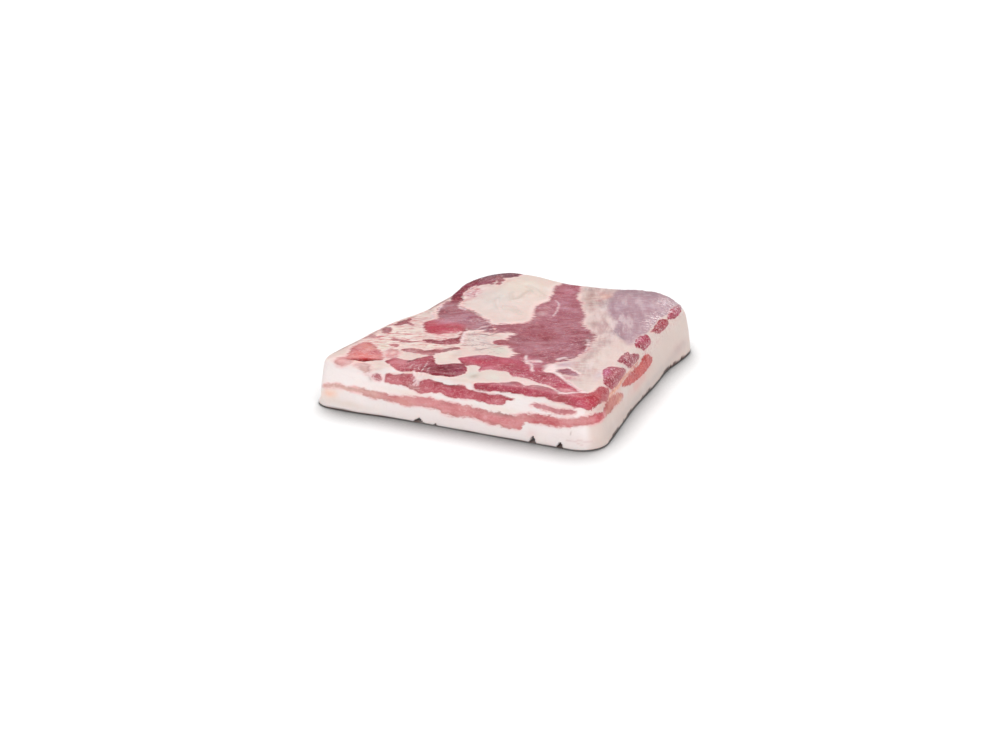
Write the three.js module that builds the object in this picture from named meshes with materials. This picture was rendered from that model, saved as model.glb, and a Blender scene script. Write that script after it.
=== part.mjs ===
import * as THREE from 'three';
import { mergeVertices } from 'three/addons/utils/BufferGeometryUtils.js';

// A squared slab of raw pork belly lying on its skin, as one solid.
// Millimetres, +Z up. The cut side with the streaks looks toward -Y.
// The slab starts as a finely divided box, which is rounded, leaned, bowed and swollen
// into the slab's outline, and its streaks and chunks then stand out along the normals.

// Driving dimensions
const WIDTH = 286;
const DEPTH = 315;
const THICKNESS = 47;
const CORNER = { frontLeft: 18.5, frontRight: 26, rearRight: 34, rearLeft: 62 };
const TOP_EDGE = 9;
const FOOT = { height: 2, inset: 1.6 };
const LEAN = { left: 8.5, right: 10.5, front: 5, rear: 10 };
const SIDE_CURVE = 1.3;
const CELLS = { across: 50, along: 48, up: 10 };
const CLOSER = { across: 0.12, along: 1.3 };

// Places are measured from a mark just inside the front left corner: x to the right, y to the rear.
const MARK = { x: 2, y: 5 };

// Broad rises and hollows of the upper face: centre, reach either way, height.
const SWELLS = [
  { x: 88, y: 288, reachX: 62, reachY: 80, rise: 13.1 },
  { x: 168, y: 300, reachX: 30, reachY: 60, rise: 2.5 },
  { x: 235, y: 290, reachX: 48, reachY: 90, rise: 7.8 },
  { x: 265, y: 120, reachX: 40, reachY: 120, rise: 1.5 },
  { x: 112, y: 222, reachX: 30, reachY: 52, rise: 1.2 },
  { x: 30, y: 160, reachX: 26, reachY: 26, rise: -1 },
  { x: 8, y: 8, reachX: 34, reachY: 40, rise: 3.7 },
];

// Where the outline bows out (or in, below zero).
const BOWS = [
  { x: 40, y: -5, reachX: 30, reachY: 30, out: 3 },
  { x: 0, y: 10, reachX: 20, reachY: 20, out: -0.5 },
  { x: 0, y: 60, reachX: 20, reachY: 60, out: 0.2 },
  { x: 0, y: 220, reachX: 60, reachY: 88, out: -24.5 },
  { x: 0, y: 160, reachX: 40, reachY: 26, out: -5 },
  { x: 284, y: 275, reachX: 60, reachY: 45, out: 5.4 },
  { x: 280, y: 110, reachX: 40, reachY: 60, out: -3.4 },
  { x: 284, y: 215, reachX: 30, reachY: 34, out: -2.4 },
  { x: 150, y: 310, reachX: 60, reachY: 40, out: -3 },
  { x: 230, y: 310, reachX: 40, reachY: 40, out: 3 },
];

// Where the upper edge is rounder than TOP_EDGE, or sharper, below zero.
const SOFT_EDGES = [
  { x: 50, y: 290, reachX: 70, reachY: 80, extra: 10 },
  { x: 275, y: 285, reachX: 50, reachY: 50, extra: 7 },
  { x: 0, y: 150, reachX: 60, reachY: 90, extra: 2 },
  { x: 0, y: 0, reachX: 60, reachY: 50, extra: -3.2 },
];

// Lean streaks of the front: ends in x, middle line (start, middle, end) and half width
// measured up the front and on over the upper face, and how far each stands out.
const STREAKS = [
  { from: 8, to: 283, line: [22, 21, 30], half: 5.5, out: 0.6 },
  { from: 72, to: 202, line: [41, 40, 40], half: 8.5, out: 1.3 },
  { from: 66, to: 145, line: [68, 75, 70], half: 15, out: 1.3 },
  { from: 128, to: 254, line: [92, 97, 70], half: 16, out: 1.2 },
  { from: 164, to: 282, line: [53, 56, 54], half: 10, out: 1.4 },
  { from: 221, to: 259, line: [38, 38, 36], half: 2.6, out: 0.7 },
  { from: 66, to: 127, line: [106, 104, 121], half: 5, out: 0.8 },
  { from: 80, to: 114, line: [129, 134, 141], half: 5, out: 0.8 },
];

// Length over which a streak's relief rises from its tip.
const STREAK_TAPER = 30;

// Lean patches of the upper face, in x and the same height measure.
const PATCHES = [
  { x: 32, v: 87, halfX: 25, halfV: 21, out: 1.4 },
  { x: 82, v: 167, halfX: 26, halfV: 19, out: 1.2 },
  { x: 185, v: 178, halfX: 48, halfV: 42, out: -1 },
  { x: 165, v: 262, halfX: 20, halfV: 70, out: -0.8 },
];

// Lean chunks along the right upper edge and strips below them, in y and height measure.
const CHUNKS = [
  { y: 25, w: 54, halfY: 15, halfW: 9, out: 1.4 },
  { y: 62, w: 61, halfY: 20, halfW: 11, out: 1.6 },
  { y: 109, w: 58, halfY: 17, halfW: 9, out: 1.6 },
  { y: 151, w: 61, halfY: 21, halfW: 10, out: 1.6 },
  { y: 203, w: 61, halfY: 21, halfW: 10, out: 1.5 },
  { y: 255, w: 61, halfY: 20, halfW: 9, out: 1.4 },
  { y: 120, w: 41, halfY: 46, halfW: 8, out: 0.9 },
  { y: 46, w: 35, halfY: 17, halfW: 8, out: 0.9 },
];

// The crease below the left patch: ends in x and height measure, depth, reach to either side.
const CREASE = { x0: 20, v0: 67, x1: 54, v1: 65, depth: 1.6, reach: 4 };

// The skin's lip, which spreads at the foot of the front left corner.
const LIP = { x: 0, y: 0, reachX: 25, reachY: 20, out: 2.5, height: 7 };

// Nicks in the skin's lower edge: place along the side, half width, height, depth.
const FRONT_NICKS = [
  { at: 110, half: 6, height: 5, depth: 5 },
  { at: 222, half: 4.5, height: 7, depth: 5 },
  { at: 247.5, half: 4.5, height: 6, depth: 4 },
];
const RIGHT_NICKS = [
  { at: 224, half: 7, height: 6, depth: 4 },
  { at: 252, half: 6, height: 5, depth: 3 },
];

// Slow folds of the upper face: length of a wave, its direction in degrees, height.
const FOLDS = [
  { length: 97, direction: 20, height: 0.4 },
  { length: 58, direction: 112, height: 0.25 },
  { length: 41, direction: 68, height: 0.15 },
];

// Between which cosines a surface begins to count as facing a way, and fully does.
const TURNED = [0.1, 0.5];
const FACING = [0.5, 0.9];

// Height over the foot within which relief grows from nothing.
const RELIEF_START = 8;

function smooth(from, to, value) {
  const t = THREE.MathUtils.clamp((value - from) / (to - from), 0, 1);
  return t * t * (3 - 2 * t);
}

function mound(x, y, place) {
  return Math.exp(-(((x - place.x) / place.reachX) ** 2) - ((y - place.y) / place.reachY) ** 2);
}

function sumOf(places, key, x, y) {
  return places.reduce((sum, place) => sum + place[key] * mound(x, y, place), 0);
}

// Height of the upper face over a place: it rises to the rear, dips at the left
// and carries the swells.
function topHeight(x, y) {
  const rearRise = 4.5 * smooth(-10, 110, y);
  const leftDip = 3.2 * (1 - smooth(0, 95, x)) * (1 - smooth(90, 215, y));
  return THICKNESS + rearRise - leftDip + sumOf(SWELLS, 'rise', x, y);
}

// The point where a ray from the centre through (u, v), on the edge of the unit square,
// meets the rounded outline, with the outline's outward normal there.
function outlinePoint(u, v) {
  const halfWidth = WIDTH / 2;
  const halfDepth = DEPTH / 2;
  const side = new THREE.Vector2(u * halfWidth, v * halfDepth);
  const ends = side.x < 0 ? ['frontLeft', 'rearLeft'] : ['frontRight', 'rearRight'];
  const radius = CORNER[ends[side.y < 0 ? 0 : 1]];
  const core = new THREE.Vector2(
    THREE.MathUtils.clamp(side.x, radius - halfWidth, halfWidth - radius),
    THREE.MathUtils.clamp(side.y, radius - halfDepth, halfDepth - radius),
  );
  const normal = side.sub(core).normalize();
  return { point: core.addScaledVector(normal, radius), normal };
}

// A square edge of the section, seen from the side (inset from the side, height), made round:
// what lies between the corner and a circle's centre moves onto the circle.
function roundTop(inset, height, top, radius) {
  const across = inset - radius;
  const above = height - (top - radius);
  if (across >= 0 || above <= 0) {
    return { inset, height };
  }
  const length = Math.hypot(across, above);
  return {
    inset: radius + (across / length) * radius,
    height: top - radius + (above / length) * radius,
  };
}

function leanAt(normal) {
  const across = normal.x < 0 ? LEAN.left : LEAN.right;
  const along = normal.y < 0 ? LEAN.front : LEAN.rear;
  return across * normal.x ** 2 + along * normal.y ** 2;
}

// A place of the unit box (a and b from -1 to 1, c from 0 to 1) on the smooth slab.
function slabPoint(a, b, c) {
  const shell = Math.max(Math.abs(a), Math.abs(b), 1e-9);
  const { point, normal } = outlinePoint(a / shell, b / shell);
  const reach = Math.abs(a) >= Math.abs(b) ? WIDTH / 2 : DEPTH / 2;
  const shift = { x: WIDTH / 2 - MARK.x, y: DEPTH / 2 - MARK.y };
  const edgeX = point.x + shift.x;
  const edgeY = point.y + shift.y;
  const top = topHeight(point.x * shell + shift.x, point.y * shell + shift.y);
  const radius = TOP_EDGE + sumOf(SOFT_EDGES, 'extra', edgeX, edgeY);
  const rounded = roundTop((1 - shell) * reach, c * top, top, radius);
  const under = FOOT.inset * (1 - smooth(0, FOOT.height, rounded.height));
  const shrink = 1 - (rounded.inset + under) / reach;
  const climb = (rounded.height / top) ** SIDE_CURVE;
  const lip = LIP.out * mound(edgeX, edgeY, LIP) * (1 - smooth(0, LIP.height, rounded.height));
  const out = (sumOf(BOWS, 'out', edgeX, edgeY) + lip - leanAt(normal) * climb) * shell;
  return new THREE.Vector3(
    point.x * shrink + normal.x * out + shift.x,
    point.y * shrink + normal.y * out + shift.y,
    rounded.height,
  );
}

function streakRelief(x, v, streak) {
  const t = (x - streak.from) / (streak.to - streak.from);
  if (t <= 0 || t >= 1) {
    return 0;
  }
  const [start, middle, end] = streak.line;
  const bend = 4 * (middle - (start + end) / 2) * t * (1 - t);
  const centre = start + (end - start) * t + bend;
  const half = streak.half * Math.sqrt(1 - Math.abs(2 * t - 1) ** 3);
  const fullness = smooth(0, STREAK_TAPER, Math.min(x - streak.from, streak.to - x));
  return streak.out * fullness * Math.max(0, 1 - ((v - centre) / half) ** 2);
}

function ovalRelief(p, q, out) {
  return out * Math.max(0, 1 - p * p - q * q);
}

function creaseRelief(x, v, crease) {
  const line = new THREE.Vector2(crease.x1 - crease.x0, crease.v1 - crease.v0);
  const place = new THREE.Vector2(x - crease.x0, v - crease.v0);
  const t = THREE.MathUtils.clamp(place.dot(line) / line.lengthSq(), 0, 1);
  const away = place.distanceTo(line.multiplyScalar(t));
  return -crease.depth * Math.exp(-((away / crease.reach) ** 2));
}

function foldRelief(x, y) {
  return FOLDS.reduce((sum, fold) => {
    const angle = THREE.MathUtils.degToRad(fold.direction);
    const along = x * Math.cos(angle) + y * Math.sin(angle);
    return sum + fold.height * Math.sin((2 * Math.PI * along) / fold.length);
  }, 0);
}

function nickDepth(along, height, nicks) {
  return nicks.reduce((sum, nick) => {
    const across = Math.exp(-(((along - nick.at) / nick.half) ** 2));
    return sum + nick.depth * across * (1 - smooth(0, nick.height, height));
  }, 0);
}

// How far the surface stands out along its normal at a place on the smooth slab.
// The height measure v climbs the front and runs on over the upper face to the rear;
// w climbs the right side and runs on over the upper face to the left.
function relief(place, normal) {
  const v = place.z + place.y + MARK.y;
  const w = place.z + WIDTH - MARK.x - place.x;
  const right = smooth(...TURNED, normal.x);
  const facing = smooth(...TURNED, Math.max(normal.z, -normal.y)) * (1 - right);
  const total = (items, one) => items.reduce((sum, item) => sum + one(item), 0);
  const streaks = total(STREAKS, (streak) => streakRelief(place.x, v, streak));
  const patches = total(PATCHES, (patch) => (
    ovalRelief((place.x - patch.x) / patch.halfX, (v - patch.v) / patch.halfV, patch.out)
  ));
  const chunks = total(CHUNKS, (chunk) => (
    ovalRelief((place.y - chunk.y) / chunk.halfY, (w - chunk.w) / chunk.halfW, chunk.out)
  ));
  const folds = foldRelief(place.x, place.y) * smooth(...FACING, normal.z);
  const ahead = facing * (streaks + patches + creaseRelief(place.x, v, CREASE));
  return (ahead + right * chunks + folds) * smooth(0, RELIEF_START, place.z);
}

// The ring of the box's side that a height belongs to, 0 at the foot.
function ringOf(height) {
  return Math.round((height + 0.5) * CELLS.up);
}

// Uneven spacing of the cells: closer at the sides and toward the streaked front,
// with the lowest ring at the height of the foot's rounding.
function spread(box) {
  const a = box.x * (1 + CLOSER.across * (1 - box.x ** 2));
  const b = 2 * ((box.y + 1) / 2) ** CLOSER.along - 1;
  const ring = ringOf(box.z);
  const rise = (THICKNESS - FOOT.height) / (CELLS.up - 1);
  const c = ring === 0 ? 0 : (FOOT.height + (ring - 1) * rise) / THICKNESS;
  return { a, b, c };
}

// The box's own underside is left off, so that the flat foot can be closed in one piece.
function openBox() {
  const box = new THREE.BoxGeometry(2, 2, 1, CELLS.across, CELLS.along, CELLS.up);
  const floor = box.groups[5];
  const corners = Array.from(box.index.array);
  corners.splice(floor.start, floor.count);
  box.setIndex(corners);
  box.clearGroups();
  box.deleteAttribute('normal');
  box.deleteAttribute('uv');
  return mergeVertices(box);
}

// The vertices of the foot's rim in order, turning left as seen from above.
function footRim(box) {
  const angle = (i) => Math.atan2(box.getY(i), box.getX(i));
  const vertices = Array.from({ length: box.count }, (_, i) => i);
  const rim = vertices.filter((i) => ringOf(box.getZ(i)) === 0);
  return rim.sort((i, j) => angle(i) - angle(j));
}

// How deep the skin's nicks cut in at a place of the smooth slab.
function nicksAt(place, normal) {
  const front = smooth(...FACING, -normal.y) * nickDepth(place.x, place.z, FRONT_NICKS);
  const right = smooth(...FACING, normal.x) * nickDepth(place.y, place.z, RIGHT_NICKS);
  return front + right;
}

// Moves every vertex of the smooth slab by its relief and nicks.
function carve(slab) {
  const places = slab.getAttribute('position');
  const normals = slab.getAttribute('normal');
  const place = new THREE.Vector3();
  const normal = new THREE.Vector3();
  for (let i = 0; i < places.count; i += 1) {
    place.fromBufferAttribute(places, i);
    normal.fromBufferAttribute(normals, i);
    const out = relief(place, normal);
    const nick = nicksAt(place, normal);
    place.addScaledVector(normal, out);
    place.addScaledVector(normal.setZ(0).normalize(), -nick);
    places.setXYZ(i, ...place);
  }
}

// Each cell comes as the triangles a b d and b c d: it is parted along its shorter diagonal.
function partCells(slab) {
  const places = slab.getAttribute('position');
  const corner = (i) => new THREE.Vector3().fromBufferAttribute(places, i);
  const corners = [];
  for (let start = 0; start < slab.index.count; start += 6) {
    const [a, b, d, , c] = slab.index.array.slice(start, start + 6);
    const acrossShorter = corner(a).distanceTo(corner(c)) < corner(b).distanceTo(corner(d));
    corners.push(...(acrossShorter ? [a, b, c, a, c, d] : [a, b, d, b, c, d]));
  }
  slab.setIndex(corners);
}

function slabGeometry() {
  const slab = openBox();
  const places = slab.getAttribute('position');
  const rim = footRim(places);
  const box = new THREE.Vector3();
  for (let i = 0; i < places.count; i += 1) {
    const { a, b, c } = spread(box.fromBufferAttribute(places, i));
    places.setXYZ(i, ...slabPoint(a, b, c));
  }
  slab.computeVertexNormals();
  carve(slab);
  partCells(slab);

  const outline = rim.map((i) => new THREE.Vector2(places.getX(i), places.getY(i)));
  const foot = THREE.ShapeUtils.triangulateShape(outline, []);
  const underside = foot.flatMap(([i, j, k]) => [rim[k], rim[j], rim[i]]);
  slab.setIndex([...slab.index.array, ...underside]);
  slab.computeBoundingBox();
  const centre = slab.boundingBox.getCenter(new THREE.Vector3());
  slab.translate(-centre.x, -centre.y, -slab.boundingBox.min.z);
  slab.computeVertexNormals();
  return slab;
}

const flesh = new THREE.MeshStandardMaterial({ color: 0xd9a7a6, roughness: 0.45, metalness: 0 });
const slab = new THREE.Mesh(slabGeometry(), flesh);
slab.name = 'pork_belly_slab';

const porkBelly = new THREE.Group();
porkBelly.add(slab);

export default porkBelly;
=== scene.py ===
from math import radians

import bpy
import numpy as np
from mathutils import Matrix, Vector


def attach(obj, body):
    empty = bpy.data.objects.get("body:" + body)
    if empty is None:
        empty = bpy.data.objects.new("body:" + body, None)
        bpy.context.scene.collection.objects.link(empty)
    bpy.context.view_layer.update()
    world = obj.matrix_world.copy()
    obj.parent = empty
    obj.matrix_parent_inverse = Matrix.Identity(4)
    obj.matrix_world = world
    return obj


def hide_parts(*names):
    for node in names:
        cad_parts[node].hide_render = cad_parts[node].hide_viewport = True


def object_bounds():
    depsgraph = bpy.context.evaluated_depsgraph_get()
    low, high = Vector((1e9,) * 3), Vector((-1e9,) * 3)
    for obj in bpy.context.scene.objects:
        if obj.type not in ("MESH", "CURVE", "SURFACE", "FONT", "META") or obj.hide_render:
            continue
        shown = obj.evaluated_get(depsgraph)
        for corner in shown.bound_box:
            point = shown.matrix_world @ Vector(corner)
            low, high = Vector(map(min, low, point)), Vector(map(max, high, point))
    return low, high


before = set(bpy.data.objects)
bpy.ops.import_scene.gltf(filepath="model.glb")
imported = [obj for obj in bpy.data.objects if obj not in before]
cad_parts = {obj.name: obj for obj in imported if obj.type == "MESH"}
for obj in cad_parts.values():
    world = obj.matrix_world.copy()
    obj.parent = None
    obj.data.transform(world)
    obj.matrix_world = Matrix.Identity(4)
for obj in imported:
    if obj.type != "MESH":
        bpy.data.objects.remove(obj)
cad_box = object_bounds()

# The slab is worked out in millimetres from a mark just inside its front left corner:
# x to the right, y to the rear, z up. It is brought into the frame's metres at the end.
MM = 0.001
NODE = "pork_belly_slab"

WIDTH, DEPTH, THICKNESS = 286.0, 315.0, 47.0
MARK_X, MARK_Y = 2.0, 5.0
CORNER_RADII = {"front left": 18.5, "front right": 26.0, "rear right": 34.0, "rear left": 62.0}
TOP_EDGE = 9.0
FOOT_HEIGHT, FOOT_INSET = 2.0, 1.6
LEAN_BACK = {"left": 8.5, "right": 10.5, "front": 5.0, "rear": 10.0}
SIDE_CURVE = 1.3

# Cells of the surface: across, along and up, and how much closer they lie at the edges.
ACROSS, ALONG, UP = 230, 236, 34
CLOSER_ACROSS, CLOSER_ALONG = 0.12, 1.15
UNDERSIDE_RINGS = np.array([0.3, 0.55, 0.78, 0.92, 0.98])

# Broad rises of the top and bows of the outline: x, y, reach in x and y, amount.
SWELLS = [
    (88, 288, 62, 80, 13.1),
    (168, 300, 30, 60, 2.5),
    (235, 290, 48, 90, 7.8),
    (265, 120, 40, 120, 1.5),
    (112, 222, 30, 52, 1.2),
    (30, 160, 26, 26, -1.0),
    (8, 8, 34, 40, 3.7),
]
BOWS = [
    (40, -5, 30, 30, 3.0),
    (0, 10, 20, 20, -0.5),
    (0, 60, 20, 60, 0.2),
    (0, 220, 60, 88, -24.5),
    (0, 160, 40, 26, -5.0),
    (284, 275, 60, 45, 5.4),
    (280, 110, 40, 60, -3.4),
    (284, 215, 30, 34, -2.4),
    (150, 310, 60, 40, -3.0),
    (230, 310, 40, 40, 3.0),
]
# Where the top's edge is rounder or sharper than TOP_EDGE, and the lip of the front left corner,
# which ends at its height: rows as above.
SOFT_EDGES = [
    (50, 290, 70, 80, 10.0),
    (275, 285, 50, 50, 7.0),
    (0, 150, 60, 90, 2.0),
    (0, 0, 60, 50, -3.2),
]
LIP = [(0, 0, 25, 20, 2.5)]
LIP_HEIGHT = 7.0

# Nicks in the skin's lower edge: place along the side, width, height, depth.
FRONT_NICKS = [(110, 12, 5.0, 6.0), (127, 5, 2.5, 3.0), (222, 6, 7.5, 8.0), (247.5, 6, 6.0, 8.0)]
RIGHT_NICKS = [(224, 9, 4.5, 4.0), (252, 8, 4.0, 3.0)]

# The surface is drawn on charts. "wrap" has x and v, the height that climbs the front and runs on
# over the top to the rear. "top" has x and y. "side" has y and w, the height that climbs the right
# side and runs on over the top to the left. "left" and "rear" have y or x, and z.
# Colours are given as they look on a screen, 0 to 255.
# A lean part: its chart, tint, how far it stands out, how soft its edge is, and its outline.
LEAN_PARTS = {
    "lower streak": ("wrap", (216, 146, 147), 0.5, 1.7, [
        (6, 23.5), (14, 24.5), (30, 25), (52, 24.5), (68, 24.5), (86, 25), (96, 26.5), (114, 28),
        (126, 28), (140, 27), (154, 28), (164, 27.5), (176, 25.5), (190, 25.5), (204, 25), (209, 27),
        (215, 29.5), (228, 30.5), (244, 30), (253, 31), (261, 33.5), (268, 38), (273, 43.5), (278, 51),
        (281, 49), (277, 40.5), (272, 32.5), (266, 27.5), (259, 24.8), (250, 22.5), (236, 20.5),
        (224, 21), (217, 20.5), (213, 17), (209, 12.5), (196, 12), (180, 13), (170, 15.5), (160, 15.5),
        (148, 14), (135, 14), (129, 17), (108, 17.5), (99, 15.5), (92, 15.5), (86, 18), (68, 18),
        (48, 19.5), (30, 20.5), (12, 21)]),
    "nodule": ("wrap", (196, 138, 144), 0.6, 1.2, [
        (61.5, 40), (63.5, 44), (68, 45), (71.5, 42.5), (71, 38.5), (66, 37)]),
    "wall streak": ("wrap", (190, 96, 106), 1.2, 1.0, [
        (74, 42), (76, 46.5), (84, 48.5), (92, 49.5), (98, 52), (102, 53), (105, 50), (107, 46),
        (111, 46), (118, 48.5), (126, 49), (134, 46.5), (140, 46.5), (147, 48.5), (153, 48.5),
        (159, 45), (168, 44), (178, 42.8), (190, 43.8), (200, 43), (203, 41), (197, 39.5), (194, 35.5),
        (184, 32.5), (172, 33.5), (160, 34), (148, 33), (140, 33), (133, 35.5), (124, 34.5), (112, 32),
        (104, 34), (98, 36), (90, 36.5), (82, 35.5), (75, 38)]),
    "dark streak": ("wrap", (168, 64, 80), 1.3, 0.9, [
        (66, 70), (68, 76), (70.5, 81.5), (75, 79.5), (79, 80.5), (84, 79.5), (88, 81), (91, 86),
        (95, 92), (98, 97), (101, 99), (104, 96), (107, 90), (111, 83), (116, 81), (121, 84), (127, 88),
        (134, 89), (140, 86), (144, 80), (147, 70), (145, 62), (140, 58), (128, 57), (118, 56.5),
        (108, 57.5), (100, 56), (92, 53), (86, 53.5), (80, 57.5), (73, 63), (68, 67)]),
    "long streak": ("top", (180, 70, 90), 0.8, 1.0, [
        (127, 46), (130, 51), (135, 56), (142, 60), (148, 63), (154, 63.5), (160, 62.5), (168, 64),
        (174, 68), (180, 68), (184, 62), (190, 58), (196, 54), (202, 53), (208, 56), (211, 50),
        (214, 46), (220, 47), (227, 42.5), (234, 37.5), (240, 32), (246, 27), (253, 21), (258, 17.5),
        (254, 12), (247, 10), (240, 9.5), (235, 13), (229, 17.5), (221, 20), (212, 23.5), (203, 26.5),
        (195, 26.5), (189, 27), (184, 32), (179, 34.5), (170, 34), (162, 32), (157.5, 27), (155, 34),
        (150, 37), (144, 35), (139, 34), (132, 39)]),
    "corner streak": ("wrap", (182, 84, 98), 1.3, 1.0, [
        (164, 46.5), (164, 53), (170, 56), (180, 59.5), (188, 64), (195, 68.5), (203, 67.5), (209, 64),
        (216, 68.5), (226, 68), (234, 64), (241, 61), (247, 64), (252, 69), (258, 68), (264, 69),
        (270, 75), (277, 86), (281, 72), (278, 57), (272, 48), (266, 44), (258, 43.5), (248, 46.5),
        (238, 46.5), (228, 50), (216, 47), (208, 49), (196, 48), (182, 46.5), (172, 45.5)]),
    "small streak": ("wrap", (204, 138, 142), 0.5, 1.5, [
        (219, 38.5), (225, 41.5), (232, 41.5), (240, 40), (250, 40.5), (259, 40), (258, 36.5),
        (250, 34.5), (241, 34.5), (232, 36), (225, 36)]),
    "bridge": ("top", (184, 106, 120), 0.2, 2.6, [
        (171, 70), (178, 77), (190, 79), (204, 75), (211, 67), (212, 56), (208, 48), (200, 46),
        (194, 52), (188, 60), (179, 62)]),
    "salmon patch": ("top", (222, 136, 133), 1.2, 1.8, [
        (28, 7.5), (25, 18), (22, 25), (19, 34), (18.5, 42), (19, 50), (22, 57), (26, 57), (31, 53),
        (37, 50), (42, 43), (49, 37.5), (55, 31), (60, 24), (60, 20), (54, 17), (47, 14), (41, 11),
        (34, 9)]),
    "salmon foot": ("wrap", (226, 172, 170), -0.2, 2.2, [
        (21, 52), (24, 47.5), (29, 46), (34, 48), (38, 52), (37, 58), (33, 63), (27, 65), (22, 60)]),
    "pale lobe": ("wrap", (226, 190, 186), -0.2, 3.0, [
        (42, 52), (46, 47), (52, 44), (57, 42.5), (59, 48), (57, 55), (50, 58), (45, 56)]),
    "link": ("top", (224, 160, 160), 0.2, 2.6, [
        (53, 41), (55, 46), (60, 49), (65, 47), (68, 40), (69, 31), (67, 24), (62, 27), (57, 34)]),
    "thin streak": ("top", (172, 102, 106), 0.7, 1.0, [
        (66, 48), (67, 51.5), (75, 54), (83, 54.5), (88, 53.5), (93, 57), (98, 60.5), (103, 61.5),
        (106, 65), (110, 69), (115, 71), (118.5, 67.5), (113, 62), (108, 57), (104, 51.5), (100, 47),
        (94, 44.5), (88, 44), (79, 45), (71, 45.5)]),
    "stem streak": ("top", (148, 52, 66), 0.9, 0.9, [
        (72, 76.5), (80, 80.5), (88, 80.5), (93, 84.5), (99, 91), (106, 95), (110.5, 91), (111, 85),
        (109, 79), (102, 73.5), (91, 71.5), (81, 71.5)]),
    "stem": ("top", (164, 98, 100), 0.3, 1.8, [
        (97, 121), (101, 120), (105, 109), (108, 98), (107, 94), (104, 97), (101.5, 106), (97, 114)]),
    "left pink": ("top", (192, 122, 126), 0.3, 1.0, [
        (42, 70.5), (48, 74), (57, 72.5), (65, 72), (72, 75), (67, 69.5), (60, 67), (50, 68)]),
    "left spot": ("top", (202, 134, 138), 0.2, 1.3, [(49, 60), (56, 61), (59, 57), (57, 54), (51, 55)]),
    "left rim low": ("top", (210, 158, 160), 0.2, 2.4, [(15, 70), (18, 77), (24, 76), (26, 70),
        (20, 67)]),
    "left rim middle": ("top", (176, 114, 118), 0.5, 1.4, [
        (18, 92), (19, 100), (23, 103), (28, 97), (32, 89), (31, 84), (26, 85)]),
    "left rim high": ("top", (164, 92, 100), 0.4, 1.4, [
        (22, 112), (23, 120), (26, 128), (30, 134), (33, 130), (33, 124), (38, 121), (44, 116),
        (41, 114), (34, 118), (31, 113), (27, 108)]),
    "red oval": ("top", (190, 74, 90), 1.2, 1.5, [
        (50, 126), (52, 133), (57, 139), (66, 143), (76, 143), (86, 138), (94, 130), (99, 122),
        (101, 114), (99, 107), (94, 103.5), (88, 101), (84, 98), (80, 93.5), (74, 94.5), (67, 99),
        (61, 106), (56, 113), (52, 119)]),
    "left lean": ("top", (172, 112, 122), -0.2, 2.2, [
        (41, 190), (42, 180), (44, 172), (46, 165), (49, 158), (52, 151), (56, 145), (60, 140),
        (66, 133), (80, 131), (92, 127), (98, 121), (103, 117), (109, 118), (114, 122), (120, 119),
        (126, 117), (129, 121), (127, 130), (121, 138), (114, 144), (110, 151), (104, 155), (97, 160),
        (90, 167), (81, 174), (70, 180), (62, 186), (59, 192), (56, 198), (50, 200), (44, 197)]),
    "small knot": ("top", (166, 84, 94), 0.4, 1.1, [
        (140, 96), (141, 103), (146, 106.5), (153, 105), (161, 101), (167, 96), (158, 92), (144, 91)]),
    "main lean": ("top", (172, 102, 114), -0.7, 2.6, [
        (132, 350), (136, 300), (139, 285), (139, 270), (141, 258), (144, 246), (146, 232), (144, 224),
        (141, 216), (140, 206), (143, 197), (146, 187), (149, 176), (151, 166), (148, 160), (140, 156),
        (132, 150), (125, 145), (122, 139), (126, 130), (130, 122), (138, 125), (146, 129), (151, 126),
        (149, 118), (150, 108), (154, 101), (157, 95), (161, 88), (167, 83), (172, 76), (178, 69),
        (188, 72), (198, 66), (207, 61), (213, 69), (220, 73.5), (227, 79), (230, 89), (232, 99),
        (231, 110), (228, 120), (227, 131), (226, 142), (222, 152), (216, 161), (209, 168), (203, 175),
        (199, 184), (197, 196), (194, 206), (189, 216), (184, 226), (180, 236), (175, 243), (170, 250),
        (168, 262), (166, 274), (162, 287), (161, 300), (162, 350)]),
    "lens": ("top", (172, 118, 132), -0.3, 1.7, [
        (221, 52), (224, 57.5), (229, 59.5), (237, 55), (246, 47), (241, 45.5), (235, 45.5),
        (228, 47.5)]),
    "rear edge": ("top", (132, 28, 54), 0.6, 1.3, [
        (46, 198), (50, 192), (55, 197), (57, 203), (53, 211), (49, 220), (47, 231), (48, 240),
        (53, 247), (58, 253), (56, 263), (46, 268), (36, 260), (34, 240), (35, 225), (38, 212),
        (42, 204)]),
    "rear middle": ("top", (140, 58, 76), 0.5, 1.6, [
        (46, 258), (52, 271), (62, 269), (70, 262), (75, 252), (74, 243), (68, 245), (61, 245),
        (53, 245)]),
    "rear knot": ("top", (158, 88, 94), 0.4, 1.6, [
        (62, 270), (70, 274), (78, 265), (83, 254), (83, 243), (78, 243), (76, 252), (69, 260)]),
    "rear grey": ("top", (120, 74, 86), 0.2, 2.4, [
        (40, 256), (48, 264), (56, 268), (64, 264), (72, 270), (79, 264), (87, 270), (92, 284),
        (96, 350), (40, 350), (0, 340), (0, 262), (20, 232), (32, 246)]),
    "peach seam": ("side", (250, 178, 152), 0.3, 1.4, [
        (38, 44.5), (44, 47), (52, 47), (64, 46.5), (76, 47.5), (88, 48.5), (100, 48), (112, 47.8),
        (126, 48), (134, 48), (130, 46), (118, 46), (104, 46.2), (92, 45.8), (82, 45), (74, 43),
        (66, 43), (54, 44)]),
    "streak round the corner": ("side", (208, 112, 118), 0.6, 1.4, [
        (2, 37), (2, 46), (8, 42), (14, 38.5), (20, 36.5), (24, 34), (22, 29.5), (15, 29.5), (8, 32)]),
    "corner lump": ("side", (184, 90, 96), 1.3, 1.3, [
        (2, 52), (4, 62), (10, 67), (18, 66), (24, 63), (30, 63.5), (36, 61), (41, 56), (45, 50),
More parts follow.
